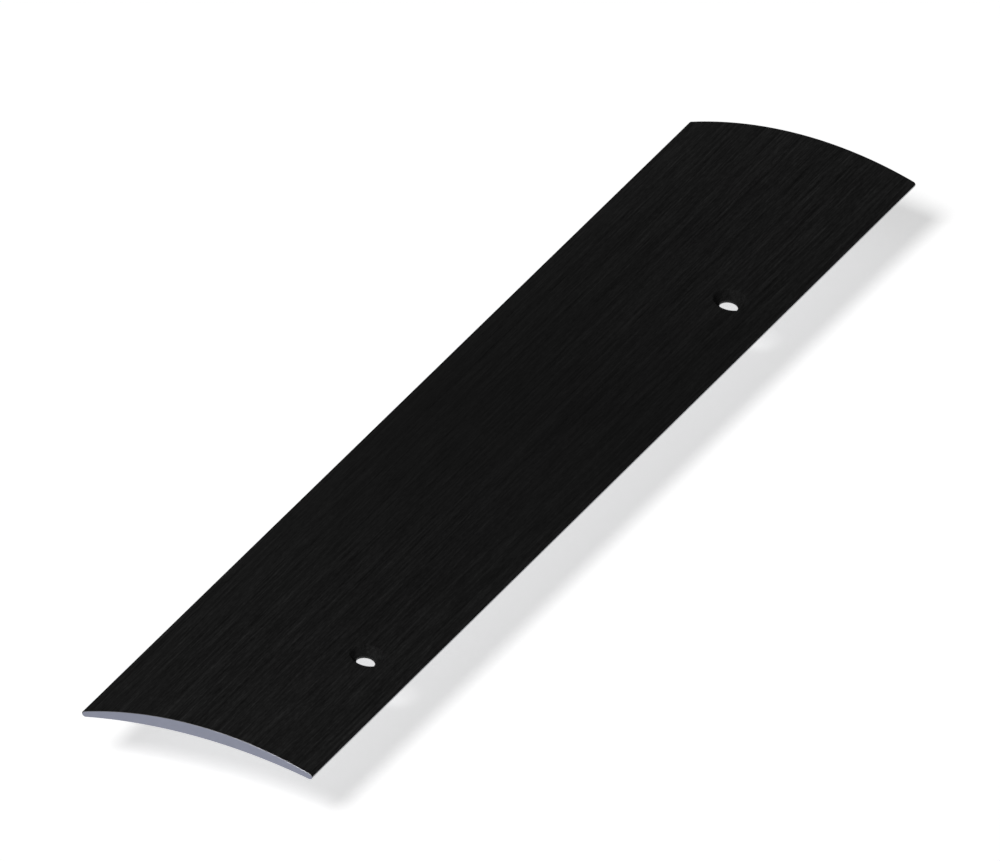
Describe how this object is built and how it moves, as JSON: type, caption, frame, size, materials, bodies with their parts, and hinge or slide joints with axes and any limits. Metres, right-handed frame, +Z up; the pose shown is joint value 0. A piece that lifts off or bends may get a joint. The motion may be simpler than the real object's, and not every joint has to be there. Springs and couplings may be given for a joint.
{
  "type": "domed threshold strip",
  "caption": "Shallow-arched metal floor strip with a black brushed facing, rounded bare lips and countersunk screw holes along one side.",
  "frame": {"origin": "middle of the strip's footprint, on the plane that its two lips stand on", "axes": "+Y along the strip, from the end nearer a screw hole to the end further from one; +X across it, towards the edge that the screw holes are near; +Z up, out of the crowned show face"},
  "size_m": [0.05, 0.25, 0.0051],
  "materials": {
    "aluminium": "bare extruded metal, sawn across at the ends",
    "adhesive": "clear glue film",
    "black_facing": "black with a fine lengthwise brushed grain, satin"
  },
  "bodies": {
    "root": {"core_extrusion": "aluminium", "adhesive_film": "adhesive", "brushed_facing": "black_facing"}
  },
  "joints": []
}
